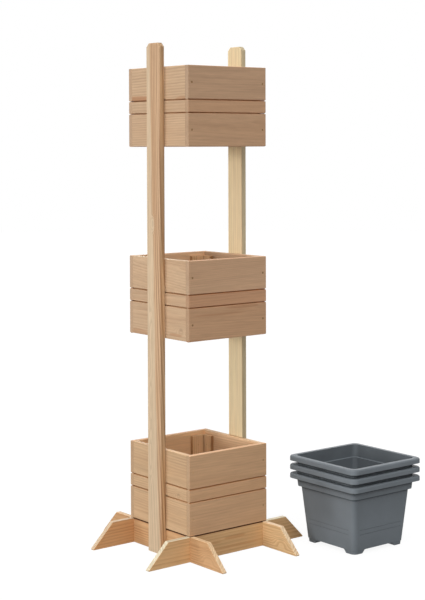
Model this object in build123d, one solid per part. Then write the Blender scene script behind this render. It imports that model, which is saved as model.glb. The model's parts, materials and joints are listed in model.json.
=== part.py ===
from build123d import *
import os
from math import atan, degrees, radians, tan

# Planter tower: three square softwood boxes between two flat posts on a cross-lapped base,
# and the three plastic pots that line the boxes, stacked on the floor beside it.
# Millimetres. The origin is on the floor under the middle of the tower.
# X runs from post to post, -Y is the front, +Z is up.

# Boxes
tiers = ["lower", "middle", "upper"]
box_width = 260.0         # outside, the same across and deep
board_thickness = 14.0
wide_board = 87.5         # height of the top and the bottom board of a wall
strip_board = 33.4        # height of the narrow board between them
board_gap = 0.3           # joint between two boards of a wall
board_ease = 1.0          # eased edges along the top of a wall
joint_fall = 1.8          # taken off a board's face by the V groove where two boards meet
joint_depth = 6.0         # of that groove

# Inside the boxes
batten_width = 38.0
batten_thickness = 10.0
batten_drop = 11.0        # from the top of the wall down to the top of the battens
batten_gap = 3.0          # open corner between the two battens of a corner
slat_width = 87.0
slat_thickness = 14.0

# Base
base_height = 65.0
rail_thickness = 14.0
rail_reach = 131.0        # how far each foot runs out past the box
rail_chamfer = 1.0
foot_angle = 45.0         # slope of a foot's end
foot_nib = 3.0            # upright left at the tip of a foot
lap_play = 0.1            # on each side of a rail in its cross lap

# Posts
post_width = 57.0
post_thickness = 17.0
post_height = 1338.0
post_above = 62.0         # how far the posts stand up past the top box
post_corner_cut = 10.0    # clipped top corners
post_round = 2.5          # eased edges

# Screws, simplified to eight-sided countersunk ones
screw_sides = 8
head_diameter = 5.6
head_depth = 1.8
shank_diameter = 3.0
screw_play = 0.1          # between a screw and its hole
screw_inset = 11.0        # from the end of a front board to its screws
wall_screw_length = 40.0
post_screw_length = 28.0
slat_screw_length = 35.0

# Pots
pot_height = 186.0
pot_wall = 1.8
pot_floor = 2.0
rim_height = 13.5
rim_overlap = 12.0        # how far the rim reaches out over the wall of a box
rim_corner = 18.0
rim_ease = 3.0            # upper edge of the rim, rounded in three flats
rim_flat = 1.2            # cut off each edge of the middle flat
collar_height = 22.0      # below the rim
collar_play = 2.0         # between the top of the collar and the wall of a box
collar_corner = 16.0
body_play = 1.0           # between the top of the body and the battens
body_corner = 14.0
pot_foot_height = 10.0
pot_foot_length = 39.0
pot_foot_inset = 1.0      # the feet stand back from the faces of the body
pot_foot_flare = 8.0      # the feet widen by this much towards the floor of the pot
groove_heights = [52.0, 64.0]
groove_length = 150.0
groove_width = 2.0
groove_depth = 0.6
nest_pitch = 23.5         # rise from one pot of the stack to the next
nest_play = 0.35          # between two nested pots
stack_aside = 74.0        # from the side of the boxes to the rim of the stack
stack_ahead = 1.0         # from the front of the boxes to the rim of the stack

# Worked out
box_half = box_width / 2
inner_half = box_half - board_thickness
side_board = 2 * inner_half
strip_bottom = wide_board + board_gap
top_bottom = strip_bottom + strip_board + board_gap
box_height = top_bottom + wide_board
wide_middles = [wide_board / 2, top_bottom + wide_board / 2]
joint_edge = (joint_fall, joint_depth)
eased_edge = (board_ease, board_ease)
batten_half = inner_half - batten_thickness
rail_half = box_half + rail_reach
top_box_bottom = post_height - post_above - box_height
tier_pitch = (top_box_bottom - base_height) / (len(tiers) - 1)


def plank(length, width, thickness, low_edge, high_edge):
    """A planed plank lying along X on its edge, from z = 0 up to its width.
    Each edge is bevelled on both faces by a fall along the face and a depth into the plank."""
    half = thickness / 2
    low_fall, low_depth = low_edge
    high_fall, high_depth = high_edge
    front = [
        (half - low_depth, 0),
        (half, low_fall),
        (half, width - high_fall),
        (half - high_depth, width),
    ]
    back = [(-across, up) for across, up in reversed(front)]
    return extrude(Plane.YZ * Polygon(*front, *back, align=None), length / 2, both=True)


def screw(length, play=0.0):
    """A countersunk screw pointing up, its head flush with z = 0; with play, its hole."""
    head_radius = head_diameter / 2 + play
    shank_radius = shank_diameter / 2 + play
    flare = degrees(atan((head_radius - shank_radius) / head_depth))
    head = RegularPolygon(head_radius, screw_sides, major_radius=False)
    shank = RegularPolygon(shank_radius, screw_sides, major_radius=False)
    return extrude(head, head_depth, taper=flare) + extrude(shank, length + play)


def drive(places, length):
    """The screws driven at these places, and the holes that they need."""
    screws = [place * screw(length) for place in places]
    holes = [place * screw(length, screw_play) for place in places]
    return screws, holes


def wall_screw_places():
    """Through the wide front and back boards into the ends of the side boards."""
    across = box_half - screw_inset
    return [
        Plane((x, y * box_half, z), x_dir=(1, 0, 0), z_dir=(0, -y, 0))
        for y in (-1, 1)
        for x in (-across, across)
        for z in wide_middles
    ]


def post_screw_places(heights):
    """From the inside of the right side, through board or rail into the middle of the post."""
    return [Plane((inner_half, 0, z), x_dir=(0, 1, 0), z_dir=(1, 0, 0)) for z in heights]


def slat_screw_places():
    """Up through the slats into the battens on the side walls."""
    x = inner_half - batten_thickness / 2
    y = inner_half - batten_width / 2
    return [
        Plane((sx * x, sy * y, 0), x_dir=(1, 0, 0), z_dir=(0, 0, 1))
        for sx in (-1, 1)
        for sy in (-1, 1)
    ]


def box_boards(holes):
    """The twelve boards of a box that stands on z = 0, by name."""
    courses = {
        "bottom_board": (0, wide_board, joint_edge),
        "strip": (strip_bottom, strip_board, joint_edge),
        "top_board": (top_bottom, wide_board, eased_edge),
    }
    middle = box_half - board_thickness / 2
    walls = {
        "front": (Pos(0, -middle), box_width),
        "back": (Pos(0, middle), box_width),
        "left": (Pos(-middle, 0) * Rot(0, 0, 90), side_board),
        "right": (Pos(middle, 0) * Rot(0, 0, 90), side_board),
    }
    boards = {}
    for wall, (place, length) in walls.items():
        for course, (bottom, height, high_edge) in courses.items():
            board = plank(length, height, board_thickness, joint_edge, high_edge)
            boards[f"{wall}_{course}"] = place * Pos(0, 0, bottom) * board - holes
    return boards


def corner_battens(holes):
    """Two battens in each corner; the one on the side wall runs into the corner."""
    length = box_height - batten_drop - slat_thickness
    on_side = Pos(batten_half, inner_half, slat_thickness) * Box(
        batten_thickness, batten_width, length, align=(Align.MIN, Align.MAX, Align.MIN)
    )
    on_front = Pos(batten_half - batten_gap, inner_half, slat_thickness) * Box(
        batten_width, batten_thickness, length, align=(Align.MAX, Align.MAX, Align.MIN)
    )
    battens = []
    for batten in (on_side, on_front):
        pair = [batten, mirror(batten, Plane.XZ)]
        battens += pair + [mirror(piece, Plane.YZ) for piece in pair]
    return [batten - holes for batten in battens]


def floor_slats(holes):
    """Two slats from front to back, with a drain gap between them."""
    flat = Rot(0, 0, 90) * Rot(90, 0, 0) * Pos(0, 0, -slat_width / 2)
    slat = flat * plank(side_board, slat_width, slat_thickness, eased_edge, eased_edge)
    slat = Pos(inner_half - slat_width / 2, 0, slat_thickness / 2) * slat
    return [side - holes for side in (slat, mirror(slat, Plane.YZ))]


def post(holes):
    """The right post: a flat board with clipped top corners, on the floor against the boxes."""
    half = post_width / 2
    shoulder = post_height - post_corner_cut
    outline = Polygon(
        (-half, 0),
        (half, 0),
        (half, shoulder),
        (half - post_corner_cut, post_height),
        (post_corner_cut - half, post_height),
        (-half, shoulder),
        align=None,
    )
    board = extrude(Plane.YZ * outline, post_thickness)
    edges = board.faces().filter_by(Axis.X).edges()
    board = fillet([edge for edge in edges if edge.center().Z > 0], post_round)
    return Pos(box_half, 0) * board - holes


def rail(notch_bottom, notch_top):
    """A base rail along X with bevelled feet and a cross-lap notch near each end."""
    knee = rail_half - (base_height - foot_nib) / tan(radians(foot_angle))
    outline = Polygon(
        (-rail_half, 0),
        (rail_half, 0),
        (rail_half, foot_nib),
        (knee, base_height),
        (-knee, base_height),
        (-rail_half, foot_nib),
        align=None,
    )
    bar = extrude(Plane.XZ * outline, rail_thickness / 2, both=True)
    bar = chamfer(bar.faces().filter_by(Axis.Y).edges(), rail_chamfer)
    notch = Pos(0, 0, notch_bottom) * Box(
        rail_thickness + 2 * lap_play,
        2 * rail_thickness,
        notch_top - notch_bottom,
        align=(Align.CENTER, Align.CENTER, Align.MIN),
    )
    crossing = box_half - rail_thickness / 2
    return bar - [Pos(crossing, 0) * notch, Pos(-crossing, 0) * notch]


def tapered_block(bottom, height, half, slope, corner):
    """A square block with rounded corners that grows by slope on each side as it rises.
    It is drawn from its wide top downwards and then turned over."""
    top_half = half + slope * height
    block = extrude(Rectangle(2 * top_half, 2 * top_half), height, taper=degrees(atan(slope)))
    upright = [edge for edge in block.edges() if abs((edge @ 1 - edge @ 0).Z) > height / 2]
    return Pos(0, 0, bottom + height) * Rot(180, 0, 0) * fillet(upright, corner)


def pot_feet(half, slope):
    """Four corner feet, left standing by two wide channels across the underside."""
    slab = tapered_block(0, pot_foot_height, half - slope * pot_foot_height, slope, body_corner)
    narrow = half - pot_foot_length
    wide = narrow + pot_foot_flare
    channel = Polygon(
        (-wide, 0),
        (wide, 0),
        (narrow, pot_foot_height),
        (-narrow, pot_foot_height),
        align=None,
    )
    across = extrude(Plane.XZ * channel, 2 * half, both=True)
    return slab - [across, Rot(0, 0, 90) * across]


def face_grooves(half, slope):
    """Two shallow level grooves on each of the four faces of the body."""
    cuts = []
    for height in groove_heights:
        face = half + slope * (height - pot_foot_height)
        place = Plane((0, -face, height), x_dir=(1, 0, 0), z_dir=(0, -1, -slope))
        groove = place * Box(groove_length, groove_width, 2 * groove_depth)
        cuts += [Rot(0, 0, turn) * groove for turn in (0, 90, 180, 270)]
    return cuts


def pot():
    """A moulded pot: feet, drafted body, collar and a down-turned rim, hollow throughout.
    Body and collar share the draft that lets one pot sink to the pitch above the next."""
    slope = (pot_wall + nest_play) / nest_pitch
    rim_bottom = pot_height - rim_height
    collar_bottom = rim_bottom - collar_height
    body_height = collar_bottom - pot_foot_height
    body_half = batten_half - body_play - slope * body_height
    collar_half = inner_half - collar_play - slope * collar_height
    rim_half = inner_half + rim_overlap
    body = tapered_block(pot_foot_height, body_height, body_half, slope, body_corner)
    collar = tapered_block(
        collar_bottom, pot_height - collar_bottom, collar_half, slope, collar_corner
    )
    rim = tapered_block(rim_bottom, rim_height, rim_half, 0, rim_corner)
    under_rim = tapered_block(
        rim_bottom, rim_height - pot_wall, rim_half - pot_wall, 0, rim_corner - pot_wall
    )
    rim = chamfer(rim.faces().sort_by(Axis.Z)[-1].edges(), rim_ease)
    for height in (pot_height, pot_height - rim_ease):
        rim = chamfer(rim.edges().filter_by_position(Axis.Z, height, height), rim_flat)
    rim -= under_rim
    floor_top = pot_foot_height + pot_floor
    ledge = collar_bottom + pot_wall
    body_room = tapered_block(
        floor_top,
        ledge - floor_top,
        body_half + slope * pot_floor - pot_wall,
        slope,
        body_corner - pot_wall,
    )
    collar_room = tapered_block(
        ledge,
        pot_height - ledge,
        collar_half + slope * pot_wall - pot_wall,
        slope,
        collar_corner - pot_wall,
    )
    feet = pot_feet(body_half - pot_foot_inset, slope)
    shell = body + collar + rim + feet
    return shell - [body_room, collar_room] - face_grooves(body_half, slope)


def save(name, solids):
    """Write one node, a single solid or a group of like ones."""
    shape = solids[0] if len(solids) == 1 else Compound(solids)
    export_step(shape, f"parts/{name}.step")


os.makedirs("parts", exist_ok=True)

# One box with its screws, repeated at every tier
tier_bottoms = [base_height + tier * tier_pitch for tier in range(len(tiers))]
wall_screws, wall_holes = drive(wall_screw_places(), wall_screw_length)
slat_screws, slat_holes = drive(slat_screw_places(), slat_screw_length)
_, right_holes = drive(post_screw_places(wide_middles), post_screw_length)
side_holes = right_holes + [mirror(hole, Plane.YZ) for hole in right_holes]
box = {name: [board] for name, board in box_boards(wall_holes + side_holes).items()}
box["corner_battens"] = corner_battens(slat_holes)
box["floor_slats"] = floor_slats(slat_holes)
box["wall_screws"] = wall_screws
box["slat_screws"] = slat_screws
for tier, bottom in zip(tiers, tier_bottoms):
    for name, pieces in box.items():
        save(f"{tier}_{name}", [Pos(0, 0, bottom) * piece for piece in pieces])

# Posts, with two screws from every box and one from the side rail
post_heights = [base_height / 2]
post_heights += [bottom + middle for bottom in tier_bottoms for middle in wide_middles]
post_screws, post_holes = drive(post_screw_places(post_heights), post_screw_length)
right_post = post(post_holes)
save("right_post", [right_post])
save("left_post", [mirror(right_post, Plane.YZ)])
save("right_post_screws", post_screws)
save("left_post_screws", [mirror(piece, Plane.YZ) for piece in post_screws])

# Base rails: front and back are notched from above, left and right from below
rail_middle = box_half - rail_thickness / 2
long_rail = rail(base_height / 2, base_height)
side_rail = Pos(rail_middle, 0) * Rot(0, 0, 90) * rail(0, base_height / 2) - post_holes[:1]
save("front_rail", [Pos(0, -rail_middle) * long_rail])
save("back_rail", [Pos(0, rail_middle) * long_rail])
save("right_rail", [side_rail])
save("left_rail", [mirror(side_rail, Plane.YZ)])

# Pots, nested on the floor at the front right
stack_x = box_half + stack_aside + inner_half + rim_overlap
stack_y = -(box_half + stack_ahead + inner_half + rim_overlap)
one_pot = pot()
for level, name in enumerate(["bottom_pot", "middle_pot", "top_pot"]):
    save(name, [Pos(stack_x, stack_y, level * nest_pitch) * one_pot])
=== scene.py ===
# %% [markdown]
# # A planter tower in planed softwood
# The tower is three boarded boxes held between two flat posts, on a base of four crossed rails.
# The three plastic pots that line its boxes stand nested on the floor beside it.
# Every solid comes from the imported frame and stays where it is. This lesson gives each one its
# finish, puts turned screws in the place of the plain ones, and sets up the light and the camera.

import json
from math import atan, cos, pi, radians, sin
from random import Random

import bmesh
import bpy
from mathutils import Matrix, Vector

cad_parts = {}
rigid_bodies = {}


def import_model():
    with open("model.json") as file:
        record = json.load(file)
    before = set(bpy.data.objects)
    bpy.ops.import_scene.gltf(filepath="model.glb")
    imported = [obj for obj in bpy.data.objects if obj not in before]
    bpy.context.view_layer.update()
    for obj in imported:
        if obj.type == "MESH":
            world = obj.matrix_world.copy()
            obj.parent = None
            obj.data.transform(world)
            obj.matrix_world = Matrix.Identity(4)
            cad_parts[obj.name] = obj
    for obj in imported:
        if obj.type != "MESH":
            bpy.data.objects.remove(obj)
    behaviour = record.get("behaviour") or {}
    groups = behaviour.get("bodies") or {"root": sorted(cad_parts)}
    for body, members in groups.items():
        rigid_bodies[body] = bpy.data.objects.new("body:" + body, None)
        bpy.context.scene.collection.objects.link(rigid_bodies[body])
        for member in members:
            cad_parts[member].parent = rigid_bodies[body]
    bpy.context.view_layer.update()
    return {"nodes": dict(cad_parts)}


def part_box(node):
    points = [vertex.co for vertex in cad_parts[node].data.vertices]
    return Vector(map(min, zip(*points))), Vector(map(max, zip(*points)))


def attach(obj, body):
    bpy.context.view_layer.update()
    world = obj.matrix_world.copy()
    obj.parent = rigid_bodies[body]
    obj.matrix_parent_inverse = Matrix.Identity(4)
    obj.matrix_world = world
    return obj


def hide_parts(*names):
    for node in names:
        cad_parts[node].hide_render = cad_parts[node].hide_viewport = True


for leftover in list(bpy.data.objects):
    bpy.data.objects.remove(leftover)
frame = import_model()
nodes = frame["nodes"]
mm = 0.001

# %% [markdown]
# ## Shader nodes in one line each
# A material is a small graph: texture nodes on the left, the shader on the right. Written out in
# full, each node takes four or five lines of code. One helper that adds a node, sets its options
# and links its inputs keeps the graphs below short enough to read as recipes. A few more give
# plain names to the steps that come back in every recipe.

# %% A helper for shader nodes
def add_node(tree, kind, inputs=None, **options):
    """Adds a shader node, sets its options, and fills or links its inputs."""
    made = tree.nodes.new("ShaderNode" + kind)
    for option, value in options.items():
        setattr(made, option, value)
    for socket, value in (inputs or {}).items():
        if isinstance(value, bpy.types.NodeSocket):
            tree.links.new(value, made.inputs[socket])
        else:
            made.inputs[socket].default_value = value
    return made


def new_finish(name):
    """A new material, its node tree and its shader."""
    finish = bpy.data.materials.new(name)
    finish.use_nodes = True
    return finish, finish.node_tree, finish.node_tree.nodes["Principled BSDF"]


print("node helpers ready")

# %% Helpers for values and colours
noise_span = (0.3, 0.7)            # nearly all values of a noise texture lie between these


def spread(tree, value, low, high, start=0.0, end=1.0, smooth=False):
    """Stretches a value that runs from start to end so that it runs from low to high."""
    kind = "SMOOTHSTEP" if smooth else "LINEAR"
    limits = {"From Min": start, "From Max": end, "To Min": low, "To Max": high}
    made = add_node(tree, "MapRange", {"Value": value, **limits}, interpolation_type=kind)
    return made.outputs["Result"]


def combine(tree, operation, first, second):
    """One arithmetic step on two values."""
    return add_node(tree, "Math", {0: first, 1: second}, operation=operation).outputs["Value"]


def noise(tree, place, scale, detail=2.0, roughness=0.5):
    """A cloudy value round 0.5; scale is about the number of clouds to a metre."""
    setting = {"Vector": place, "Scale": scale, "Detail": detail, "Roughness": roughness}
    return add_node(tree, "TexNoise", setting).outputs["Fac"]


def mix_colours(tree, share, first, second, blend="MIX"):
    """Blends two colours; share 0 is the first and 1 the second."""
    made = add_node(tree, "Mix", {0: share, 6: first, 7: second}, data_type="RGBA", blend_type=blend)
    return made.outputs[2]


def tint_where(tree, share, colour, tint):
    """Multiplies a colour by a tint where share is 1, and leaves it where share is 0."""
    return mix_colours(tree, share, colour, list(tint) + [1], "MULTIPLY")


print("noise mostly lies between", *noise_span)

# %% Helpers for places and directions
axes = {"x": 0, "y": 1, "z": 2}


def object_place(tree):
    """Where a point is, in metres from the middle of the tower's foot when all is at rest."""
    return add_node(tree, "TexCoord").outputs["Object"]


def stretch(tree, vector, by):
    """Multiplies a vector part by part."""
    return add_node(tree, "VectorMath", {0: vector, 1: by}, operation="MULTIPLY").outputs["Vector"]


def length_of(tree, vector):
    """The length of a vector."""
    return add_node(tree, "VectorMath", {0: vector}, operation="LENGTH").outputs["Value"]


def alignment(tree, first, second):
    """The dot product: how far two vectors point the same way."""
    return add_node(tree, "VectorMath", {0: first, 1: second}, operation="DOT_PRODUCT").outputs["Value"]


def without_sign(tree, value):
    """A value without its sign."""
    return add_node(tree, "Math", {0: value}, operation="ABSOLUTE").outputs["Value"]


def place_along(tree, axis):
    """The distance of a point from the middle of the tower along an axis."""
    return without_sign(tree, add_node(tree, "SeparateXYZ", {0: object_place(tree)}).outputs[axis])


print("axes:", *axes)

# %% A helper that dresses a shader
def dress(tree, shader, colour, roughness, shine, relief, strength, depth):
    """Gives a shader its colour, its roughness, its shine and a fine relief."""
    tree.links.new(colour, shader.inputs["Base Color"])
    tree.links.new(roughness, shader.inputs["Roughness"])
    shader.inputs["Specular IOR Level"].default_value = shine
    bump = {"Height": relief, "Strength": strength, "Distance": depth}
    tree.links.new(add_node(tree, "Bump", bump).outputs["Normal"], shader.inputs["Normal"])


def put_on(name, finish):
    """Gives a node this finish and no other."""
    nodes[name].data.materials.clear()
    nodes[name].data.materials.append(finish)


print("shader helpers ready")

# %% [markdown]
# ## Softwood as a solid
# A board is cut from a log, so its figure is a slice through nested cylinders: the year rings.
# A flat picture of wood would not turn the corner from a face to the end of a board. A texture
# that fills space does: rings round the heart of the log, which lies outside the board, with the
# pale early wood of each year darkening to a thin line of late wood. The coordinates are squeezed
# along the grain, so that every wobble of the rings and every fibre is drawn out lengthways.

# %% The year rings and fibres of a board
wave_length = 2 * pi / 20          # of the wave texture's rings at a scale of 1
late_span = (0.25, 0.95)           # of a year's growth, from the first late wood to the darkest
grain_stretch = 14                 # how much longer than wide the figure is
log_turns = {"x": (0, pi / 2, 0), "y": (-pi / 2, 0, 0), "z": (0, 0, 0)}


def log_coordinates(tree, grain, heart, tilt):
    """Coordinates in the log: its heart is the Z axis, and the figure is drawn out along it."""
    turn = [base + extra for base, extra in zip(log_turns[grain], tilt)]
    setting = {
        "Vector": object_place(tree),
        "Location": heart,
        "Rotation": turn,
        "Scale": (1, 1, grain_stretch),
    }
    return add_node(tree, "Mapping", setting, vector_type="TEXTURE").outputs["Vector"]


def fibre_noise(tree, log, width, drawn):
    """Streaks of fibre of this width, drawn out this much further than the rings."""
    drawn_out = stretch(tree, log, (1, 1, 1 / drawn))
    return noise(tree, drawn_out, 1 / width, roughness=0.6)


def year_rings(tree, log, ring_gap, waver, phase):
    """How much late wood there is at a point: 0 in the spring growth, 1 at the end of a year."""
    setting = {
        "Vector": log,
        "Scale": wave_length / ring_gap,
        "Distortion": waver,
        "Detail": 2.0,
        "Detail Scale": 0.16,
        "Detail Roughness": 0.45,
        "Phase Offset": phase,
    }
    shape = {"wave_type": "RINGS", "rings_direction": "Z", "wave_profile": "SAW"}
    rings = add_node(tree, "TexWave", setting, **shape)
    return spread(tree, rings.outputs["Fac"], 0, 1, *late_span, smooth=True)


print("figure drawn out", grain_stretch, "times along the grain")

# %% [markdown]
# ## Sapwood
# The outer rings of a log still carried water when the tree was felled. They are paler than the
# heart and their year lines are fainter, so a board that reaches across both has pale bands along
# its edges. In the log's own coordinates this is a question of distance from the heart. The border
# wanders a little, and where the rings swing round a knot it swings with them.

# %% Where the sapwood begins
border_wander = 3 * mm             # how far the border strays to either side
wander_scale = 60.0


def sapwood(tree, log, heart_radius, border, push):
    """0 in the heartwood and 1 in the sapwood round it; push moves the border."""
    outwards = length_of(tree, stretch(tree, log, (1, 1, 0)))
    wander = noise(tree, log, wander_scale)
    wander = spread(tree, wander, -border_wander, border_wander, *noise_span)
    outwards = combine(tree, "ADD", outwards, wander)
    outwards = combine(tree, "ADD", outwards, push)
    return spread(tree, outwards, 0, 1, heart_radius - border, heart_radius + border, smooth=True)


print("the border of the sapwood strays by", border_wander, "m")

# %% [markdown]
# ## A knot
# Where a branch left the trunk, the rings swing round a small dark eye. In the shader that is a
# push on the phase of the rings close to the eye, and a brown spot in the middle of it. The eye
# is a line through the board's thickness, so it shows at the same place on both faces. A streak of
# resin is made with the same distance, drawn out much further along the grain.

# %% The push and the spot of a knot
swing_span = (0.6, 4.5)            # the swing dies away between these, in radii of the eye
spot_span = (0.4, 1.6)             # and so does the brown of the spot
right_through = 1000.0             # metres, so that a spot is the same through the whole board


def spot_distance(tree, place, radius, length, cut):
    """Distance from a spot on a board, 1 at its edge; length is its reach along the grain."""
    reach = [radius] * 3
    reach[axes[cut["grain"]]] = length
    reach[axes[cut["thickness"]]] = right_through
    setting = {"Vector": object_place(tree), "Location": place, "Scale": reach}
    return length_of(tree, add_node(tree, "Mapping", setting, vector_type="TEXTURE").outputs["Vector"])


def knot_swing(tree, distance, strength):
    """How far the rings are pushed aside, falling off round the eye."""
    return spread(tree, distance, strength, 0, *swing_span, smooth=True)


def knot_spot(tree, distance, strength):
    """How strongly the brown of the eye shows."""
    return spread(tree, distance, strength, 0, *spot_span, smooth=True)


print("a knot swings the rings out to", swing_span[1], "radii")

# %% [markdown]
# ## Faces, edges and ends
# The narrow edges of a board cross the rings another way than its faces do, its sawn ends drink
# the light, and the bevels in the joints were left as the saw cut them, so all of them differ from
# the outer faces in colour. The edge colour is partly painted light and shade as well: paler on
# edges that look up, darker on some shaded sides, and the chamfers along the top take it only
# where they look up. The faces inside the boxes are brightened with painted light. The direction
# that a surface faces, in the board's own coordinates, tells them apart. It is the same from
# wherever one looks.

# %% How squarely a surface faces a direction
def facing_along(tree, way):
    """How squarely a surface faces a direction: 1 towards it, 0 across it and -1 away from it."""
    return alignment(tree, add_node(tree, "TexCoord").outputs["Normal"], way)


def squareness(tree, axis):
    """1 where a surface faces squarely along an axis, either way, and 0 where it lies along it."""
    return without_sign(tree, facing_along(tree, [float(each == axis) for each in range(3)]))


print("facing helpers ready")

# %% Tell edges, bevels, chamfers and ends from faces
# Squareness through the thickness is 0 on an edge, 0.3 on a joint bevel, 0.7 on a chamfer and 1 on
# a face. Each pair below is where one kind of surface gives way to the next.
edge_out = (0.12, 0.22)
bevel_in = (0.16, 0.24)
bevel_out = (0.38, 0.52)
chamfer_in = (0.45, 0.60)
upwards_in = (0.40, 0.60)          # by how far a surface looks up
end_in = (0.85, 0.95)              # by how squarely it looks along the grain
inside_in = (0.50, 0.90)           # by how squarely it looks into the box


def tint_by_facing(tree, colour, wood, cut):
    """Tints edges, joint bevels and ends, and paints light on the edges and chamfers that look up and the
    inner face.
    """
    flat = squareness(tree, axes[cut["thickness"]])
    colour = tint_where(tree, spread(tree, flat, 1, 0, *edge_out, smooth=True), colour, cut["edge"])
    not_edge = spread(tree, flat, 0, 1, *bevel_in, smooth=True)
    not_face = spread(tree, flat, 1, 0, *bevel_out, smooth=True)
    colour = tint_where(tree, combine(tree, "MULTIPLY", not_edge, not_face), colour, wood["bevel"])
    # Painted light: chamfers that look up take the paler edge colour.
    upwards = spread(tree, facing_along(tree, (0, 0, 1)), 0, 1, *upwards_in, smooth=True)
    not_bevel = spread(tree, flat, 0, 1, *chamfer_in, smooth=True)
    chamfer = combine(tree, "MULTIPLY", upwards, not_bevel)
    colour = tint_where(tree, chamfer, colour, cut["edge"])
    ends = spread(tree, squareness(tree, axes[cut["grain"]]), 0, 1, *end_in, smooth=True)
    colour = tint_where(tree, ends, colour, wood["end"])
    # Painted light: the inner face of a right or back wall is brightened.
    if cut["inwards"]:
        inside = spread(tree, facing_along(tree, cut["inwards"]), 0, 1, *inside_in, smooth=True)
        colour = tint_where(tree, inside, colour, cut["inner_painted_light"])
    return colour


print("a joint bevel lies between", bevel_in, "and", bevel_out)

# %% [markdown]
# ## Painted shade in the base and the corners
# A painted shadow runs along the rails' upper edge, where the boxes stand on them: a dark line in
# the joint. Inside the boxes, the narrow sides of the corner battens are darkened with painted
# shade. Both are told by place: the line by height and by how far along the rail it lies, the
# sides by which wall a batten is fixed to.

# %% Where the painted joint shadow is
box_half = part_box("lower_front_strip")[1].x
rail_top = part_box("front_rail")[1].z
# A painted shadow: a dark line along the rails' top edge, in the joint under the boxes.
joint_shadow_span = (2.2 * mm, 1.2 * mm)   # below the rail's top, from where the line begins to where it is full
joint_shadow_fade = 1 * mm                 # at the box's corners, to either side
joint_shadow_brown = (0.085, 0.026, 0.005, 1)


def painted_joint_shadow(tree, grain_axis):
    """Painted shadow: 1 along the upper edge of a rail under the box, and 0 elsewhere."""
    begin, full = (rail_top - depth for depth in joint_shadow_span)
    high = spread(tree, place_along(tree, 2), 0, 1, begin, full, smooth=True)
    under = spread(tree, place_along(tree, grain_axis), 1, 0, box_half - joint_shadow_fade, box_half + joint_shadow_fade)
    return combine(tree, "MULTIPLY", high, under)


print("box half", round(box_half, 4), "rail top", round(rail_top, 4))

# %% Where the painted side shade is
inner_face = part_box("lower_right_strip")[0].x
batten_width = 38 * mm
batten_thickness = 10 * mm
batten_gap = 3 * mm                # open corner between two battens
batten_border = inner_face - batten_thickness - batten_gap / 2    # from side battens to front ones
border_fade = 0.5 * mm
narrow_in = (0.6, 0.8)             # by how squarely a surface looks along its wall
# painted shade on the battens' narrow sides
side_shade_tint = (0.52, 0.43, 0.34)


def painted_side_shade(tree):
    """Painted shade: 1 on the narrow sides of the corner battens, and 0 on their faces and ends."""
    border = (batten_border - border_fade, batten_border + border_fade)
    on_side_wall = spread(tree, place_along(tree, 0), 0, 1, *border)
    narrow = {0: on_side_wall, 2: squareness(tree, 0), 3: squareness(tree, 1)}
    return spread(tree, add_node(tree, "Mix", narrow).outputs[0], 0, 1, *narrow_in)


print("border between the battens at", round(batten_border, 4))

# %% [markdown]
# ## The planed finish
# Planed and left bare, softwood is matt: the late wood a shade glossier than the early wood, the
# fibres felt more than seen. Colour, roughness and bump all read the same rings and fibres, so
# that a dark line is also a slightly raised and smoother one, as it is on the real board.

# %% The year lines, the blush and the resin
years_scale = 38.0                 # how quickly strong years and faint ones follow each other
year_strength = (0.25, 1.1)        # of the faintest and of the strongest
blush_span = (0.4, 0.75)           # of its noise, from no blush to the full share
blush_share = 0.55
resin_tint = (1.06, 0.90, 0.80)    # of late wood soaked with resin
resin_span = (0.8, 1.0)            # a streak fades between these shares of its reach


def late_wood(tree, log, wood, cut, phase):
    """The year rings, stronger in some years than in others."""
    late = year_rings(tree, log, cut["ring_gap"], wood["waver"], phase)
    faint, strong = (cut["contrast"] * wood["contrast"] * strength for strength in year_strength)
    years = noise(tree, log, years_scale)
    return combine(tree, "MULTIPLY", late, spread(tree, years, faint, strong, *noise_span))


def figure_colour(tree, log, wood, cut, tones, late):
    """The colour of the year lines, with patches of blush and streaks of resin over them."""
    colour = mix_colours(tree, late, tones["early"], tones["late"])
    blush = noise(tree, log, wood["patches"], detail=1.0)
    blush = spread(tree, blush, 0, blush_share, *blush_span, smooth=True)
    colour = mix_colours(tree, blush, colour, tones["blush"])
    resin = [a * b for a, b in zip(tones["late"], resin_tint)] + [1]
    for place, radius, length, share in cut["streaks"]:
        distance = spot_distance(tree, place, radius, length, cut)
        near = spread(tree, distance, share, 0, *resin_span, smooth=True)
        colour = mix_colours(tree, near, colour, resin)
    return colour


print("blush covers up to", blush_share, "of the colour")

# %% The pale outer wood and the fibres
border_follow = 0.3                # how far the border goes along with the rings round a knot
sap_share = 0.6
fibre_width = 1.1 * mm
fibre_drawn = 4.0                  # how much further than the rings they are drawn out
fibre_span = (0.25, 0.75)          # of the fibres' noise
fibre_tones = (0.88, 1.1)          # of the darkest and of the lightest fibres
band_width = 9 * mm
band_drawn = 1.5
band_tones = (0.94, 1.06)


def add_sapwood(tree, log, cut, phase, colour):
    """Blends in the sapwood, if the board reaches it."""
    if not cut["sapwood"]:
        return colour
    sap_colour, heart_radius, border = cut["sapwood"]
    push = combine(tree, "MULTIPLY", phase, border_follow * cut["ring_gap"] / (2 * pi))
    outer = sapwood(tree, log, heart_radius, border, push)
    return mix_colours(tree, spread(tree, outer, 0, sap_share), colour, sap_colour)


def add_fibres(tree, log, fibres, colour):
    """Darkens and lightens a colour along the fibres, and in wider bands."""
    bands = spread(tree, fibre_noise(tree, log, band_width, band_drawn), *band_tones, *noise_span)
    streaks = combine(tree, "MULTIPLY", spread(tree, fibres, *fibre_tones, *fibre_span), bands)
    grey = add_node(tree, "CombineColor", {0: streaks, 1: streaks, 2: streaks}).outputs["Color"]
    return mix_colours(tree, 1.0, colour, grey, "MULTIPLY")


print("fibres", fibre_width, "m and bands", band_width, "m wide")

# %% A softwood finish for one board
eye_shade = 0.55                   # of the late wood, in the eye of a knot
planed = {"early": 0.66, "late": 0.54}    # roughness


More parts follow.
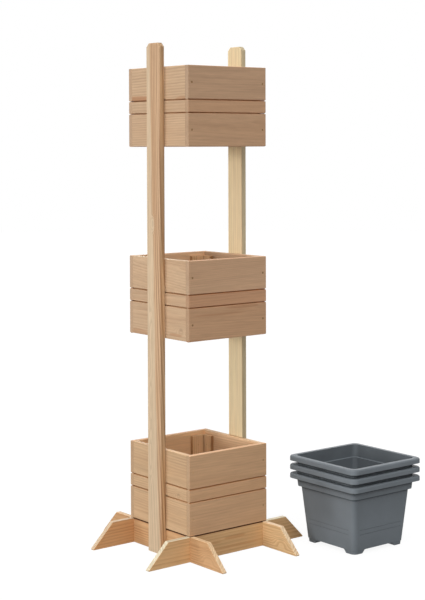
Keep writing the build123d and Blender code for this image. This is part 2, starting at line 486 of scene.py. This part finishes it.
def softwood(name, wood, cut):
    """The finish of one board: wood names its colours, and cut says how it was sawn from the log."""
    finish, tree, shader = new_finish(name)
    log = log_coordinates(tree, cut["grain"], cut["heart"], cut["tilt"])
    tones = {}
    for key in ("early", "late", "blush"):
        tones[key] = [cut["shade"] * a * b for a, b in zip(cut["tint"], wood[key])] + [1]
    phase = cut["phase"]
    eyes = [spot_distance(tree, *knot, cut) for knot in cut["knots"]]
    for eye in eyes:
        phase = combine(tree, "ADD", knot_swing(tree, eye, wood["swing"]), phase)
    late = late_wood(tree, log, wood, cut, phase)
    colour = figure_colour(tree, log, wood, cut, tones, late)
    colour = add_sapwood(tree, log, cut, phase, colour)
    fibres = fibre_noise(tree, log, fibre_width, fibre_drawn)
    colour = add_fibres(tree, log, fibres, colour)
    colour = tint_by_facing(tree, colour, wood, cut)
    # Painted shadow along the rails' top edge, under the boxes.
    if wood["dark"] == "damp line":
        colour = mix_colours(tree, painted_joint_shadow(tree, axes[cut["grain"]]), colour, joint_shadow_brown)
    # Painted shade on the narrow sides of the corner battens.
    if wood["dark"] == "rough sides":
        colour = tint_where(tree, painted_side_shade(tree), colour, side_shade_tint)
    brown = [eye_shade * part for part in wood["late"]] + [1]
    for eye in eyes:
        colour = mix_colours(tree, knot_spot(tree, eye, wood["spot"]), colour, brown)
    roughness = spread(tree, late, planed["early"], planed["late"])
    relief = combine(tree, "ADD", late, fibres)
    dress(tree, shader, colour, roughness, shine=0.3, relief=relief, strength=0.25, depth=0.15 * mm)
    return finish


print("softwood finish ready, roughness", planed)

# %% [markdown]
# ## Which wood goes where
# The boxes are of one pinkish, even softwood. The posts are paler and yellower, the left one with
# bands of sapwood, and the base rails are the warmest, more orange than the rest. The first three
# colours of a wood are the linear values that the shader takes; the next three are what the colour
# is multiplied by on an edge, on a joint bevel and on an end. The edge's is partly painted light.
# Then each wood names where it takes painted shade, and says how far its rings waver, how hard they
# swing round a knot, how strongly they show, how many patches of blush there are to a metre, and
# how strongly the eye of a knot shows.

# %% The colours of the boxes' woods
side_wood = {
    "early": (0.545, 0.373, 0.232),
    "late": (0.390, 0.240, 0.138),
    "blush": (0.475, 0.300, 0.176),
    # paler partly as painted light on the edges that face up
    "edge": (1.42, 1.44, 1.46),
    "bevel": (1.0, 0.86, 0.72),
    "end": (0.54, 0.57, 0.59),
    "dark": None,
    "waver": 5.0,
    "swing": 14.0,
    "contrast": 0.7,
    "patches": 14.0,
    "spot": 0.35,
}
front_wood = dict(
    side_wood,
    early=(0.615, 0.388, 0.236),
    late=(0.450, 0.262, 0.146),
    blush=(0.545, 0.326, 0.188),
    contrast=0.33,
)
print("contrast of side boards", side_wood["contrast"], "and front boards", front_wood["contrast"])

# %% The colours of the posts' woods
left_post_wood = {
    "early": (0.605, 0.400, 0.240),
    "late": (0.350, 0.190, 0.096),
    "blush": (0.490, 0.290, 0.155),
    "edge": (1.06, 1.05, 0.98),
    "bevel": (1.0, 1.0, 1.0),
    "end": (0.85, 0.85, 0.92),
    "dark": None,
    "waver": 14.0,
    "swing": 18.0,
    "contrast": 1.0,
    "patches": 45.0,
    "spot": 0.1,
}
right_post_wood = dict(
    left_post_wood,
    early=(0.840, 0.665, 0.420),
    late=(0.680, 0.480, 0.270),
    blush=(0.800, 0.580, 0.360),
    # darker partly as painted shade on the post's sides
    edge=(0.83, 0.84, 0.86),
    end=(1.0, 1.0, 1.0),
    waver=7.0,
)
print("rings of the posts waver by", left_post_wood["waver"], "and", right_post_wood["waver"])

# %% The colours of the rails' and the battens' woods
rail_wood = {
    "early": (0.690, 0.445, 0.225),
    "late": (0.480, 0.255, 0.105),
    "blush": (0.620, 0.365, 0.165),
    # paler partly as painted light on the tops and slopes that face up
    "edge": (1.05, 1.50, 2.25),
    "bevel": (1.0, 1.0, 1.0),
    "end": (0.90, 0.88, 0.86),
    # a painted shadow along the top edge
    "dark": "damp line",
    "waver": 10.0,
    "swing": 16.0,
    "contrast": 0.8,
    "patches": 20.0,
    "spot": 0.12,
}
batten_wood = dict(
    rail_wood,
    early=(0.840, 0.555, 0.315),
    late=(0.580, 0.330, 0.160),
    blush=(0.750, 0.455, 0.235),
    edge=(1.0, 1.0, 1.0),
    # painted shade on the narrow sides
    dark="rough sides",
)
print("dark on the rails:", rail_wood["dark"], "and on the battens:", batten_wood["dark"])

# %% [markdown]
# ## Sawing the boards
# No two boards come from the same place in a log. Each one draws its own heart, ring spacing and
# tilt from a random generator seeded with its name, so every run saws the same boards. A heart
# far to the side of a board gives straight even lines on its face; a heart behind the face gives
# the pointed arches of a flat-sawn board. Where a board should show a certain figure, the choice
# is named and takes the place of the draw.

# %% Saw one board
heart_aside = 70 * mm              # how far to the side of a board its heart may lie
heart_depths = (12 * mm, 55 * mm)  # how far in front of it or behind it
run_out = 6 * mm                   # how far the grain may stray over the board's length
ring_gaps = (4.5 * mm, 7.5 * mm)
shades = (0.96, 1.04)
sawn = []


def saw(name, wood, grain, thickness, width, **choices):
    """Cuts a finish for a node from its own log, and puts it on the node."""
    pick = Random(name)
    low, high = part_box(name)
    sideways = pick.uniform(-heart_aside, heart_aside)
    behind = pick.choice((-1, 1)) * pick.uniform(*heart_depths)
    lean = atan(run_out / (high - low)[axes[grain]])
    tilt = [0.0, 0.0, 0.0]
    tilt[axes[thickness]] = pick.uniform(-lean, lean)
    tilt[axes[width]] = pick.uniform(-lean, lean)
    cut = {
        "grain": grain,
        "thickness": thickness,
        "sideways": sideways,
        "behind": behind,
        "tilt": tilt,
        "ring_gap": pick.uniform(*ring_gaps),
        "phase": pick.uniform(0, 2 * pi),
        "shade": pick.uniform(*shades),
        "tint": (1, 1, 1),
        "edge": wood["edge"],
        "inwards": None,
        "contrast": 1.0,
        "sapwood": None,
        "knots": (),
        "streaks": (),
        **choices,
    }
    cut["heart"] = (low + high) / 2
    cut["heart"][axes[width]] += cut["sideways"]
    cut["heart"][axes[thickness]] += cut["behind"]
    put_on(name, softwood(f"{name}_wood", wood, cut))
    sawn.append(name)


print("ready to saw", len(nodes), "nodes")

# %% [markdown]
# ## The boards of the boxes
# On the real boxes one board has a knot, the next a streak of resin along its edge, and the strips
# are often a shade darker than the wide boards. Such features are given in metres, in the tower's
# own frame. A knot has a place, a radius and a length along the grain, and a streak has its share
# of resin besides. The lowest box is a little warmer than the others, and the inner faces of the
# right and back walls are brightened with painted light.

# %% What single boards of the boxes look like
tiers = ("lower", "middle", "upper")
courses = ("bottom_board", "strip", "top_board")
tier_looks = {"lower": {"tint": (1.06, 1.03, 0.95)}}
# painted light on the inner faces of the right and back walls
insides = {
    "right": {"inwards": (-1, 0, 0), "inner_painted_light": (1.47, 1.47, 1.51)},
    "back": {"inwards": (0, -1, 0), "inner_painted_light": (1.50, 1.61, 1.65)},
}
figures = {
    "upper_left_top_board": {
        "ring_gap": 6.6 * mm,
        "sideways": 120 * mm,
        "contrast": 1.3,
        "streaks": (
            (Vector((-0.130, 0.095, 1.176)), 28 * mm, 160 * mm, 1.0),
            (Vector((-0.130, -0.104, 1.178)), 22 * mm, 40 * mm, 0.6),
        ),
    },
    "upper_left_bottom_board": {"ring_gap": 6.2 * mm, "sideways": 100 * mm, "contrast": 1.2},
    "upper_front_top_board": {"tint": (0.95, 0.95, 0.96)},
    "upper_front_strip": {"tint": (0.95, 0.90, 0.86)},
    "upper_front_bottom_board": {"tint": (0.97, 0.95, 0.93)},
    "middle_left_top_board": {
        "ring_gap": 7.0 * mm,
        "sideways": 30 * mm,
        "tilt": (0.08, 0, 0.06),
        "contrast": 0.85,
        "edge": (1.48, 1.72, 1.92),
    },
    "middle_right_top_board": {"inner_painted_light": (1.06, 1.04, 1.05)},
    "middle_left_bottom_board": {
        "knots": [(Vector((-0.130, -0.095, 0.595)), 4 * mm, 7 * mm)],
        "streaks": (
            (Vector((-0.130, 0.092, 0.570)), 13 * mm, 50 * mm, 0.5),
            (Vector((-0.130, -0.072, 0.580)), 4 * mm, 30 * mm, 0.6),
        ),
    },
    "middle_front_strip": {"tint": (0.93, 0.82, 0.76)},
    "middle_front_bottom_board": {
        "contrast": 1.4,
        "sideways": 30 * mm,
        "tint": (0.99, 0.95, 0.91),
        "streaks": (
            (Vector((-0.030, -0.130, 0.632)), 2.6 * mm, 95 * mm, 0.45),
            (Vector((0.048, -0.130, 0.647)), 4.5 * mm, 64 * mm, 0.5),
            (Vector((-0.115, -0.130, 0.564)), 8 * mm, 42 * mm, 0.5),
        ),
    },
    "lower_front_strip": {"ring_gap": 5.0 * mm, "sideways": 90 * mm, "contrast": 2.2},
    "lower_left_strip": {"knots": [(Vector((-0.130, -0.082, 0.166)), 3 * mm, 5 * mm)]},
}
print("boards with a figure of their own:", len(figures))

# %% Saw the boxes
for tier in tiers:
    for course in courses:
        for wall in ("front", "back", "left", "right"):
            board = f"{tier}_{wall}_{course}"
            choices = {**tier_looks.get(tier, {}), **insides.get(wall, {}), **figures.get(board, {})}
            if wall in ("front", "back"):
                saw(board, front_wood, "x", "y", "z", **choices)
            else:
                saw(board, side_wood, "y", "x", "z", **choices)
    saw(f"{tier}_corner_battens", batten_wood, "z", "x", "y", ring_gap=4.0 * mm)
    saw(f"{tier}_floor_slats", side_wood, "y", "z", "x")
print("finishes sawn:", len(sawn))

# %% [markdown]
# ## The posts and the rails
# The left post shows a bold figure: a wandering band of dark heartwood with sapwood at its edges,
# and a few knots. The right post is plain and pale. The rails were cut from several planks, so each
# one has a tint of its own, and the side rails have edge colours of their own, which are partly
# painted light on their tops and slopes.

# %% Saw the posts
post_sap = (0.675, 0.545, 0.375, 1)    # outside a heart of 50 mm, with a border of 4 mm to either side
saw(
    "left_post", left_post_wood, "z", "x", "y",
    ring_gap=7.2 * mm, sideways=-46 * mm, behind=10 * mm, contrast=1.5, shade=1.0, phase=0,
    tilt=(-0.012, -0.03, 0), sapwood=(post_sap, 50 * mm, 4 * mm),
    knots=[
        (Vector((-0.147, -0.002, 0.866)), 4 * mm, 7 * mm),
        (Vector((-0.147, 0.006, 0.560)), 4 * mm, 30 * mm),
        (Vector((-0.147, 0.010, 0.400)), 4 * mm, 26 * mm),
        (Vector((-0.147, 0.012, 0.260)), 4 * mm, 22 * mm),
    ],
)
saw(
    "right_post", right_post_wood, "z", "x", "y",
    ring_gap=8.0 * mm, sideways=60 * mm, behind=-20 * mm,
    contrast=0.8, shade=1.0, tint=(0.94, 0.98, 0.965),
)
print("finishes sawn:", len(sawn))

# %% Saw the rails
rail_ring_gap = 6.0 * mm
resin_streaks = (
    (Vector((0.020, -0.130, 0.042)), 5 * mm, 40 * mm, 0.45),
    (Vector((-0.080, -0.130, 0.036)), 3 * mm, 60 * mm, 0.4),
    (Vector((0.030, -0.130, 0.018)), 2.5 * mm, 75 * mm, 0.4),
)
rail_looks = {
    "front": {"tint": (1.11, 1.08, 1.05), "streaks": resin_streaks},
    "back": {"tint": (0.94, 0.79, 0.71), "streaks": resin_streaks},
    "left": {"tint": (0.92, 0.85, 0.84), "edge": (1.44, 1.75, 2.16), "contrast": 1.3},
    "right": {"tint": (1.22, 1.29, 1.35), "edge": (1.09, 1.22, 1.52), "contrast": 1.3},
}
for side in ("front", "back"):
    saw(f"{side}_rail", rail_wood, "x", "y", "z", ring_gap=rail_ring_gap, **rail_looks[side])
for side in ("left", "right"):
    rail_low, rail_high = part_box(f"{side}_rail")
    knot = Vector(((rail_low.x + rail_high.x) / 2, -0.205, 0.030)), 6 * mm, 10 * mm
    saw(f"{side}_rail", rail_wood, "y", "x", "z", ring_gap=rail_ring_gap, knots=[knot], **rail_looks[side])
print("finishes sawn:", len(sawn))

# %% [markdown]
# ## Eased edges
# A planed edge is never a perfect corner: sandpaper takes off about half a millimetre, and that
# thin band catches the light. The frame's meshes are split along their edges, so a Weld modifier
# joins them first, and a Bevel modifier then rounds every edge sharper than its angle limit.

# %% Round the edges of wood and plastic
weld_reach = 0.01 * mm
sharp_angle = radians(30)


def ease_edges(name, width, segments):
    """Welds a node's mesh and rounds its edges, without touching the mesh itself."""
    weld = nodes[name].modifiers.new("joined_edges", "WELD")
    weld.merge_threshold = weld_reach
    bevel = nodes[name].modifiers.new("eased_edges", "BEVEL")
    bevel.width = width
    bevel.segments = segments
    bevel.limit_method = "ANGLE"
    bevel.angle_limit = sharp_angle
    bevel.use_clamp_overlap = True
    soft = nodes[name].modifiers.new("even_light", "WEIGHTED_NORMAL")
    soft.keep_sharp = True


pots = ("bottom_pot", "middle_pot", "top_pot")
wooden = [name for name in nodes if not name.endswith("_screws") and name not in pots]
for name in wooden:
    ease_edges(name, width=0.5 * mm, segments=2)
for name in pots:
    ease_edges(name, width=0.7 * mm, segments=3)
print("eased:", len(wooden), "wooden pieces and", len(pots), "pots")

# %% [markdown]
# ## Moulded plastic
# The pots are injection moulded in a grey that is a touch blue. The mould leaves a fine, even
# texture, which breaks the reflections into a satin sheen, and the colour is never perfectly even
# over a large wall. Painted shade darkens the outside in the corners under the rim and the collar,
# and the inner walls are darkened with painted shade too. The ambient occlusion node finds such
# corners: it says how much of the sky over a point the pot itself leaves open. The other pots don't
# count, so a pot keeps its look when it is lifted out of the stack. The outside is where a wall
# faces away from the middle of the pot.

# %% The outside of a pot, and its corners
pot_low, pot_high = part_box("bottom_pot")
pot_middle = (pot_low + pot_high) / 2
wall_clear = 20 * mm               # facing out or in by this much is surely a wall's outside or inside
corner_shade_height = 120 * mm            # below the collars, and above the grooves of the top pot
corner_shade_fade = 15 * mm
corner_shade_below = 0.3                  # share of the painted shade that is left lower down
corner_reach = 30 * mm             # how far from a corner its painted shade goes
corner_span = (0.72, 0.88)         # share of open sky, from full painted shade to none


def facing_out(tree):
    """Above 0 on the outer walls of a pot, and below 0 on its inner ones."""
    coordinates = add_node(tree, "TexCoord").outputs
    parts = {0: coordinates["Object"], 1: pot_middle}
    from_middle = add_node(tree, "VectorMath", parts, operation="SUBTRACT").outputs["Vector"]
    return alignment(tree, stretch(tree, from_middle, (1, 1, 0)), coordinates["Normal"])


def painted_corner_shade(tree):
    """Painted shade: 1 in the upper corners of a pot's outside, less further down, 0 on inner walls."""
    high = spread(tree, place_along(tree, 2), corner_shade_below, 1, corner_shade_height, corner_shade_height + corner_shade_fade)
    outside = combine(tree, "MULTIPLY", spread(tree, facing_out(tree), 0, 1, 0, wall_clear), high)
    corner = {"Distance": corner_reach}
    open_share = add_node(tree, "AmbientOcclusion", corner, samples=8, only_local=True).outputs["AO"]
    return combine(tree, "MULTIPLY", outside, spread(tree, open_share, 1, 0, *corner_span))


print("pots stand round", round(pot_middle.x, 3), round(pot_middle.y, 3))

# %% The grey of the pots
pot_grey = (0.164, 0.185, 0.203)
cloud_scale = 9.0
cloud_tones = (0.9, 1.12)          # of the darkest and of the lightest clouds
satin = (0.55, 0.66)               # roughness there
# painted shade in the corners
corner_shade_tint = (0.03, 0.03, 0.03)
# painted shade on the inner walls
inner_wall_shade = (0.78, 0.78, 0.78)
pebble_scale = 1400.0
cloud_shift = 0.3                  # from pot to pot


def moulded_plastic(name, grey, shift):
    """Satin grey plastic with a fine moulded texture."""
    finish, tree, shader = new_finish(name)
    moved = {0: object_place(tree), 1: (shift, shift, 0)}
    place = add_node(tree, "VectorMath", moved).outputs["Vector"]
    cloud = noise(tree, place, cloud_scale)
    darker, lighter = ([tone * part for part in grey] + [1] for tone in cloud_tones)
    colour = mix_colours(tree, spread(tree, cloud, 0, 1, *noise_span), darker, lighter)
    # Painted shade in the corners under the rim and the collar.
    colour = tint_where(tree, painted_corner_shade(tree), colour, corner_shade_tint)
    # Painted shade: the inner walls of a pot are darker.
    inner = spread(tree, facing_out(tree), 1, 0, -wall_clear, 0)
    colour = tint_where(tree, inner, colour, inner_wall_shade)
    roughness = spread(tree, cloud, *satin, *noise_span)
    pebble = noise(tree, place, pebble_scale, detail=1.0)
    dress(tree, shader, colour, roughness, shine=0.2, relief=pebble, strength=0.12, depth=0.1 * mm)
    return finish


for count, name in enumerate(pots):
    put_on(name, moulded_plastic(f"{name}_plastic", pot_grey, cloud_shift * count))
print("pots finished:", len(pots))

# %% [markdown]
# ## Screws with a cross recess
# The frame's screws are plain eight-sided solids, right in size but bare. The real ones are turned
# and countersunk, with a cross pressed into the head. One profile of rings, each with the same
# number of points, makes the whole screw; in the recess the rings follow the outline of the cross.

# %% The outline of the cross
arm_length = 1.6 * mm              # of the cross, from its middle
arm_half = 0.4 * mm                # half the width of an arm
arm_turn = atan(arm_half / arm_length)
hair = 1e-6                        # keeps the corners of an arm on its end in spite of rounding
quarter = (-pi / 4, -pi / 6, -arm_turn, 0, arm_turn, pi / 6)
screw_turns = [arm * pi / 2 + turn for arm in range(4) for turn in quarter]


def cross_radius(turn):
    """Distance from the middle of the head to the outline of the cross."""
    off_arm = abs((turn + pi / 4) % (pi / 2) - pi / 4)
    if off_arm <= arm_turn + hair:
        return arm_length / cos(off_arm)
    return arm_half / sin(off_arm)


print("points round a screw:", len(screw_turns))

# %% The rings of a screw
head_radius = 3.1 * mm             # fills the eight-sided hole out to its corners
head_edge = (0.1 * mm, 0.3 * mm)   # depth and width of the rounding round the head
head_depth = 1.8 * mm
shank_radius = 1.5 * mm
recess_depth = 1.2 * mm
recess_lip = 0.15 * mm             # depth at which the cross has its full size
recess_taper = 0.55                # size of the cross at the bottom of the recess
point_length = 5 * mm
tip = 0.3 * mm                     # radius of the blunt tip, and how much it takes off the length


def screw_rings(length):
    """The rings of a screw pointing up, as a height and a radius at each turn."""
    cross = [cross_radius(turn) for turn in screw_turns]
    recess = [(recess_depth, [recess_taper * radius for radius in cross]), (recess_lip, cross)]
    profile = (
        (0.0, head_radius - head_edge[1]),
        (head_edge[0], head_radius),
        (head_depth, shank_radius),
        (length - point_length, shank_radius),
        (length - tip, tip),
    )
    return recess + [(height, [radius] * len(screw_turns)) for height, radius in profile]


print("rings of a screw:", len(screw_rings(40 * mm)))

# %% Turn rings into a piece
def add_rings(shape, rings, turns, place):
    """Joins rings of points into a closed skin, with a flat face at either end."""
    loops = []
    for height, radii in rings:
        points = [(radius * cos(turn), radius * sin(turn), height) for radius, turn in zip(radii, turns)]
        loops.append([shape.verts.new(place @ Vector(point)) for point in points])
    for inner, outer in zip(loops, loops[1:]):
        for now in range(len(turns)):
            after = (now + 1) % len(turns)
            shape.faces.new((inner[now], outer[now], outer[after], inner[after]))
    shape.faces.new(loops[0])
    shape.faces.new(reversed(loops[-1]))


def finish_shape(name, shape, finish, body):
    """Turns a bmesh into an object of the tower, with its finish and its place in the frame."""
    bmesh.ops.recalc_face_normals(shape, faces=shape.faces)
    mesh = bpy.data.meshes.new(name)
    shape.to_mesh(mesh)
    shape.free()
    mesh.materials.append(finish)
    piece = bpy.data.objects.new(name, mesh)
    bpy.context.scene.collection.objects.link(piece)
    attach(piece, body)
    return piece


print("ring helpers ready")

# %% [markdown]
# ## Where the screws sit
# The frame's own nodes say where: the boxes round the boards give the faces and the heights. Wall
# screws go in from the front and the back, post screws from the inside of the boxes and of the
# side rails, and slat screws from below. The wall screws of the lowest box come from a paler batch
# and hardly stand out from the wood.

# %% The plating of the screws
blotch_scale = 700.0
plating_roughness = (0.4, 0.6)


def screw_metal(name, dark, light):
    """Dull, brownish yellow plating, a little uneven."""
    finish, tree, shader = new_finish(name)
    blotch = noise(tree, object_place(tree), blotch_scale)
    tree.links.new(mix_colours(tree, blotch, dark, light), shader.inputs["Base Color"])
    tree.links.new(spread(tree, blotch, *plating_roughness), shader.inputs["Roughness"])
    shader.inputs["Metallic"].default_value = 1.0
    return finish


plating = screw_metal("screw_plating", (0.20, 0.12, 0.055, 1), (0.32, 0.20, 0.10, 1))
pale_plating = screw_metal("pale_screw_plating", (0.40, 0.25, 0.13, 1), (0.52, 0.33, 0.18, 1))
print("platings:", plating.name, "and", pale_plating.name)

# %% Drive the wall screws
sunk = 0.1 * mm                    # heads sit just below the wood
screw_inset = 11 * mm              # from the ends of the front boards
screw_lengths = {"wall": 40 * mm, "post": 28 * mm, "slat": 35 * mm}
towards = {
    "+x": Matrix.Rotation(pi / 2, 4, "Y"),
    "-x": Matrix.Rotation(-pi / 2, 4, "Y"),
    "+y": Matrix.Rotation(-pi / 2, 4, "X"),
    "-y": Matrix.Rotation(pi / 2, 4, "X"),
    "+z": Matrix.Identity(4),
}


def drive_screws(node, heads, length, finish):
    """Puts a screw at each head, given as a point on the wood and the way the screw points."""
    shape = bmesh.new()
    for count, (point, way) in enumerate(heads):
        turned = Matrix.Rotation(Random(f"{node} {count}").uniform(0, pi), 4, "Z")
        place = Matrix.Translation(point) @ towards[way] @ Matrix.Translation((0, 0, sunk)) @ turned
        add_rings(shape, screw_rings(length), screw_turns, place)
    piece = finish_shape(f"{node}_turned", shape, finish, "tower")
    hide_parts(node)
    return len(heads)


def board_heights(wall):
    """Half way up each of the two wide boards of a wall, where its screws go."""
    boxes = [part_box(f"{wall}_{course}") for course in ("bottom_board", "top_board")]
    return [(low.z + high.z) / 2 for low, high in boxes]


driven = 0
for tier in tiers:
    front_low, front_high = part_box(f"{tier}_front_bottom_board")
    across = front_high.x - screw_inset
    heads = [
        (Vector((x, y, z)), way)
        for y, way in ((front_low.y, "+y"), (-front_low.y, "-y"))
        for x in (-across, across)
        for z in board_heights(f"{tier}_front")
    ]
    finish = pale_plating if tier == "lower" else plating
    driven += drive_screws(f"{tier}_wall_screws", heads, screw_lengths["wall"], finish)
print("wall screws:", driven)

# %% Drive the post screws and the slat screws
rail_low, rail_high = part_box("right_rail")
post_heights = [(rail_low.z + rail_high.z) / 2]
for tier in tiers:
    post_heights += board_heights(f"{tier}_right")
for side, out, way in (("left", -1, "-x"), ("right", 1, "+x")):
    heads = [(Vector((out * inner_face, 0, z)), way) for z in post_heights]
    driven += drive_screws(f"{side}_post_screws", heads, screw_lengths["post"], plating)

slat_x = inner_face - batten_thickness / 2
slat_y = inner_face - batten_width / 2
for tier in tiers:
    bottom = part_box(f"{tier}_floor_slats")[0].z
    heads = [(Vector((x, y, bottom)), "+z") for x in (-slat_x, slat_x) for y in (-slat_y, slat_y)]
    driven += drive_screws(f"{tier}_slat_screws", heads, screw_lengths["slat"], plating)
print("screws in all:", driven)

# %% [markdown]
# ## Brads in the battens
# The corner battens are pinned to the boards with brads. Only their small flat heads show, two on
# each batten. They are turned from a three-point profile with the same ring helper as the screws.

# %% Pin the battens
brad_radius = 0.9 * mm
brad_sides = 12
brad_turns = [2 * pi * side / brad_sides for side in range(brad_sides)]
brad_profile = (                   # depth in the wood and radius
    (-0.15 * mm, 0.6 * brad_radius),
    (-0.05 * mm, brad_radius),
    (0.4 * mm, brad_radius),
)
brad_rings = [(depth, [radius] * brad_sides) for depth, radius in brad_profile]
brad_shares = (0.14, 0.86)         # of a batten's height
batten_face = inner_face - batten_thickness
side_middle = inner_face - batten_width / 2
front_middle = batten_face - batten_gap - batten_width / 2


def pin(shape, point, way):
    """Sets one brad in a batten, its head on the batten's face."""
    add_rings(shape, brad_rings, brad_turns, Matrix.Translation(point) @ towards[way])


pinned = 0
for tier in tiers:
    low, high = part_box(f"{tier}_corner_battens")
    shape = bmesh.new()
    for z in [low.z + share * (high.z - low.z) for share in brad_shares]:
        for right, way_out in ((-1, "-x"), (1, "+x")):
            for back, way_on in ((-1, "-y"), (1, "+y")):
                pin(shape, (right * batten_face, back * side_middle, z), way_out)
                pin(shape, (right * front_middle, back * batten_face, z), way_on)
                pinned += 2
    finish_shape(f"{tier}_batten_brads", shape, plating, "tower")
print("brads:", pinned)

# %% [markdown]
# ## The floor
# The tower stands in a white room, and hardly casts a shadow there. A floor that only reflects
# light would look grey next to the white round it. So where it is seen directly, the floor glows
# nearly white and keeps a trace of the shadow, and for light that bounces off it, it is grey paper.

# %% Lay the floor
floor_radius = 14.0
floor_sides = 96
paper_grey = (0.40, 0.40, 0.40, 1)     # for light that bounces
paper_white = (0.95, 0.95, 0.95, 1)    # for the trace of the shadow
plain_white = (1, 1, 1, 1)
glow_strength = 1.06
glow_share = 0.86


def seen_directly(tree):
    """1 for rays that look straight at a surface or by way of a mirror or glass, else 0."""
    path = add_node(tree, "LightPath").outputs
    seen = combine(tree, "MAXIMUM", path["Is Camera Ray"], path["Is Glossy Ray"])
    return combine(tree, "MAXIMUM", seen, path["Is Transmission Ray"])


def mix_shaders(tree, share, first, second):
    """Blends two shaders; share 0 is the first and 1 the second."""
    return add_node(tree, "MixShader", {0: share, 1: first.outputs[0], 2: second.outputs[0]})


paper, tree, shader = new_finish("floor_paper")
tree.nodes.remove(shader)
bounce = add_node(tree, "BsdfDiffuse", {"Color": paper_grey})
shadowed = add_node(tree, "BsdfDiffuse", {"Color": paper_white})
glow = add_node(tree, "Emission", {"Color": plain_white, "Strength": glow_strength})
shown = mix_shaders(tree, glow_share, shadowed, glow)
surface = mix_shaders(tree, seen_directly(tree), bounce, shown)
tree.links.new(surface.outputs[0], tree.nodes["Material Output"].inputs["Surface"])

shape = bmesh.new()
bmesh.ops.create_circle(shape, cap_ends=True, radius=floor_radius, segments=floor_sides)
floor_mesh = bpy.data.meshes.new("floor")
shape.to_mesh(floor_mesh)
shape.free()
floor_mesh.materials.append(paper)
floor = bpy.data.objects.new("floor", floor_mesh)
bpy.context.scene.collection.objects.link(floor)
print("floor radius:", floor_radius)

# %% [markdown]
# ## The light
# Soft light comes mainly from the left, so that the left faces are the bright ones. Six lamps like
# distant panels keep the light even from top to foot. Two on the left stand so low that they shine
# in under the boxes, right across to the other post, and a third one higher up reaches over the
# walls into the boxes. Others stand in front, above and behind, and the world adds a gentle fill.
# Where the camera looks straight at it, the world is plain white.

# %% The lamps
def add_lamp(name, towards_lamp, level, width):
    """A distant soft lamp. Level 1 lights a facing surface to its own colour."""
    lamp = bpy.data.lights.new(name, "SUN")
    lamp.energy = level * pi
    lamp.angle = radians(width)
    holder = bpy.data.objects.new(name, lamp)
    holder.rotation_euler = Vector(towards_lamp).to_track_quat("Z", "Y").to_euler()
    bpy.context.scene.collection.objects.link(holder)


# The way to each lamp, its level, and its width in degrees
lamps = {
    "left_front_panel": ((-1.0, -0.33, 0.06), 0.285, 14),
    "left_back_panel": ((-1.0, 0.45, 0.07), 0.285, 14),
    "left_high_panel": ((-1.0, -0.10, 0.55), 0.20, 40),
    "front_panel": ((-0.4, -1.0, 0.95), 0.29, 60),
    "top_panel": ((-0.15, -0.2, 1.0), 0.32, 36),
    "back_panel": ((0.9, 1.0, 0.6), 0.42, 60),
}
for name, setting in lamps.items():
    add_lamp(name, *setting)
print("lamps:", len(lamps))

# %% The world
fill_strength = 0.12
room = bpy.data.worlds.new("white_room")
room.use_nodes = True
tree = room.node_tree
tree.nodes.clear()
fill = add_node(tree, "Background", {"Color": plain_white, "Strength": fill_strength})
white = add_node(tree, "Background", {"Color": plain_white, "Strength": 1.0})
mixed = mix_shaders(tree, seen_directly(tree), fill, white)
add_node(tree, "OutputWorld", {"Surface": mixed.outputs[0]})
bpy.context.scene.world = room
bpy.context.scene.view_settings.view_transform = "Standard"
print("fill from the world:", fill_strength)

# %% [markdown]
# ## The camera
# The photograph was taken with a long lens held nearly level at the height of the top box, and cut
# from the lower part of the picture. A shifted lens does the same: the camera hardly tilts, so the
# posts stay upright, and the frame moves down to the foot of the tower.

# %% Set the camera
picture_height = 600
picture_width = 425
focal_pixels = 1435.9
aim = (197.1, 185.0)               # where the lens axis meets the picture
camera_turn = -38.306              # degrees from the front, to the left
camera_tilt = 1.587                # degrees downwards
camera_roll = 0.194                # degrees
camera_distance = 3.8415           # metres from the middle of the tower, along the floor
camera_height = 1.0710

lens = bpy.data.cameras.new("photo_camera")
lens.sensor_width = 36.0
lens.lens = focal_pixels / picture_height * lens.sensor_width
lens.shift_x = (picture_width / 2 - aim[0]) / picture_height
lens.shift_y = (aim[1] - picture_height / 2) / picture_height
camera = bpy.data.objects.new("photo_camera", lens)
turn = radians(camera_turn)
camera.location = (camera_distance * sin(turn), -camera_distance * cos(turn), camera_height)
camera.rotation_euler = (radians(90 - camera_tilt), radians(camera_roll), turn)
bpy.context.scene.collection.objects.link(camera)
bpy.context.scene.camera = camera
print("lens", round(lens.lens, 1), "mm, shift", round(lens.shift_x, 3), round(lens.shift_y, 3))
